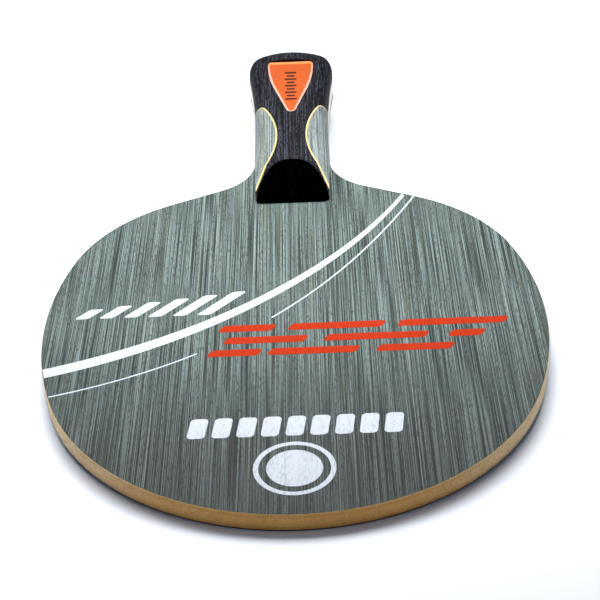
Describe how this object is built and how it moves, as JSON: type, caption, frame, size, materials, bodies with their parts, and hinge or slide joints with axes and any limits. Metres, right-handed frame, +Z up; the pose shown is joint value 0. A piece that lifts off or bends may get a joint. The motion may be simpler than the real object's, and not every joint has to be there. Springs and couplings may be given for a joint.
{
  "type": "table tennis paddle",
  "caption": "Bare wooden table tennis paddle: plywood head with a flared, laminated shakehand handle and a badge let into the handle, lying at rest on its tip and handle.",
  "frame": {"origin": "on the resting surface, below the middle of the paddle's outline box", "axes": "+Y from the head's tip to the butt of the handle, +Z up from the surface the paddle lies on, +X to the right seen from the head's tip with the front up; the blade itself slopes up 2.4 degrees towards the butt"},
  "size_m": [0.15, 0.2573, 0.0255],
  "materials": {
    "face_wood": "grey-green dyed veneer, thin satin sealer",
    "inner_wood": "raw long-grain veneer",
    "core_wood": "raw light core wood",
    "spine_wood": "charcoal-dyed open-pored wood",
    "cheek_wood": "grey-dyed wood, satin",
    "liner_wood": "pale cream veneer",
    "badge_plastic": "orange moulded plastic with a bevelled rim",
    "nose_paint": "matt black paint on the nose of each spine",
    "light_ink": "white printed marks on the front face",
    "warm_ink": "red-orange printed marks on the front face",
    "adhesive_film": "double-sided adhesive film"
  },
  "bodies": {
    "root": {"core_ply": "core_wood", "front_inner_ply": "inner_wood", "back_inner_ply": "inner_wood", "front_outer_ply": "face_wood", "back_outer_ply": "face_wood", "front_spine": "spine_wood", "front_left_cheek": "cheek_wood", "front_right_cheek": "cheek_wood", "front_left_liner": "liner_wood", "front_right_liner": "liner_wood", "back_spine": "spine_wood", "back_left_cheek": "cheek_wood", "back_right_cheek": "cheek_wood", "back_left_liner": "liner_wood", "back_right_liner": "liner_wood", "badge": "badge_plastic", "badge_adhesive": "adhesive_film"}
  },
  "joints": []
}
